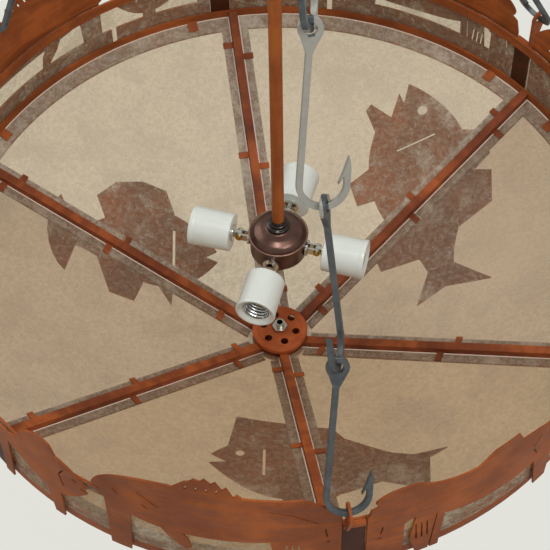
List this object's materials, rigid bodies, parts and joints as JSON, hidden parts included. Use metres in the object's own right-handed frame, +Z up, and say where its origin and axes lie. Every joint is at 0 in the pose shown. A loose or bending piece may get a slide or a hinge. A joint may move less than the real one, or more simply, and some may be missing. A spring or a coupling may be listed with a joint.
{
  "type": "inverted pendant light",
  "caption": "Bowl-up pendant: a shallow mica cone on painted ribs with cut-sheet fish, hung on hook-link chains, with porcelain sockets on a stem inside.",
  "frame": {"origin": "middle of the two box screws, on the ceiling plane at the top of the crossbar and canopy rim", "axes": "+Z up into the ceiling, +X along the crossbar through both box screws, -Y towards the viewer"},
  "size_m": [0.73, 0.7425, 1.0425],
  "materials": {
    "steel_rust": "hand-rubbed rust-brown paint, matte",
    "hub_bronze": "bronze paint, satin",
    "cluster_bronze": "dark bronze lacquer, satin",
    "zinc_steel": "zinc plated",
    "nickel": "nickel plated",
    "brass": "polished",
    "porcelain": "white glaze",
    "aluminium": "bright",
    "mica": "built-up mica sheet, mottled",
    "hook_steel": "dark steel, worn edges"
  },
  "bodies": {
    "fixture": {"crossbar": "zinc_steel", "hang_nipple": "zinc_steel", "canopy": "steel_rust", "canopy_eyes": "hook_steel", "stem_collar": "steel_rust", "stem": "steel_rust", "cluster_coupling": "cluster_bronze", "cluster_cap": "cluster_bronze", "cluster_body": "cluster_bronze", "cluster_nipple": "zinc_steel", "cluster_nut": "cluster_bronze", "swivel_screws": "brass", "swivel_base_1": "nickel", "swivel_base_2": "nickel", "swivel_base_3": "nickel", "swivel_base_4": "nickel"},
    "bowl": {"hub_cover": "hub_bronze", "hub_plate": "steel_rust", "hub_nipple": "zinc_steel", "hub_nut": "hub_bronze", "finial": "steel_rust", "rib_1": "steel_rust", "rib_2": "steel_rust", "rib_3": "steel_rust", "rib_4": "steel_rust", "rib_5": "steel_rust", "rib_6": "steel_rust", "mica_panel_1": "mica", "mica_panel_2": "mica", "mica_panel_3": "mica", "mica_panel_4": "mica", "mica_panel_5": "mica", "mica_panel_6": "mica", "lower_ring": "steel_rust", "upper_ring": "steel_rust", "band_mica": "mica", "band_posts": "steel_rust", "frieze_fish": "steel_rust", "bowl_bass": "steel_rust", "bowl_trout": "steel_rust", "bowl_sunfish": "steel_rust"},
    "socket_1": {"porcelain_1": "porcelain", "screw_shell_1": "aluminium", "centre_contact_1": "brass", "swivel_head_1": "nickel"},
    "socket_2": {"porcelain_2": "porcelain", "screw_shell_2": "aluminium", "centre_contact_2": "brass", "swivel_head_2": "nickel"},
    "socket_3": {"porcelain_3": "porcelain", "screw_shell_3": "aluminium", "centre_contact_3": "brass", "swivel_head_3": "nickel"},
    "socket_4": {"porcelain_4": "porcelain", "screw_shell_4": "aluminium", "centre_contact_4": "brass", "swivel_head_4": "nickel"},
    "hook_chain_1": {"chain_1": "hook_steel"},
    "hook_chain_2": {"chain_2": "hook_steel"},
    "hook_chain_3": {"chain_3": "hook_steel"}
  },
  "joints": [
    {"name": "bowl_sway", "type": "hinge", "parent": "fixture", "child": "bowl", "pos_m": [0, 0, 0.01011], "axis": [1, 0, 0], "range_deg": [-5, 5]},
    {"name": "chain_1_swing", "type": "hinge", "parent": "fixture", "child": "hook_chain_1", "pos_m": [0.02812, 0.02247, -0.0626], "axis": [1, 0, 0], "range_deg": [-5.6, 5.6]},
    {"name": "chain_2_swing", "type": "hinge", "parent": "fixture", "child": "hook_chain_2", "pos_m": [0.0054, -0.03559, -0.0626], "axis": [1, 0, 0], "range_deg": [-5.6, 5.6]},
    {"name": "chain_3_swing", "type": "hinge", "parent": "fixture", "child": "hook_chain_3", "pos_m": [-0.03352, 0.01312, -0.0626], "axis": [1, 0, 0], "range_deg": [-5.6, 5.6]},
    {"name": "socket_1_tip", "type": "hinge", "parent": "fixture", "child": "socket_1", "pos_m": [0.04037, -0.01158, -0.8267], "axis": [0.2756, 0.9613, 0], "range_deg": [-30, 30]},
    {"name": "socket_2_tip", "type": "hinge", "parent": "fixture", "child": "socket_2", "pos_m": [0.01158, 0.04037, -0.8267], "axis": [-0.9613, 0.2756, 0], "range_deg": [-30, 30]},
    {"name": "socket_3_tip", "type": "hinge", "parent": "fixture", "child": "socket_3", "pos_m": [-0.04037, 0.01158, -0.8267], "axis": [-0.2756, -0.9613, 0], "range_deg": [-30, 30]},
    {"name": "socket_4_tip", "type": "hinge", "parent": "fixture", "child": "socket_4", "pos_m": [-0.01158, -0.04037, -0.8267], "axis": [0.9613, -0.2756, 0], "range_deg": [-30, 30]}
  ],
  "couplings": [
    {"joint": "chain_1_swing", "follows": "bowl_sway", "ratio": 1.1075},
    {"joint": "chain_2_swing", "follows": "bowl_sway", "ratio": 1.1075},
    {"joint": "chain_3_swing", "follows": "bowl_sway", "ratio": 1.1075}
  ]
}
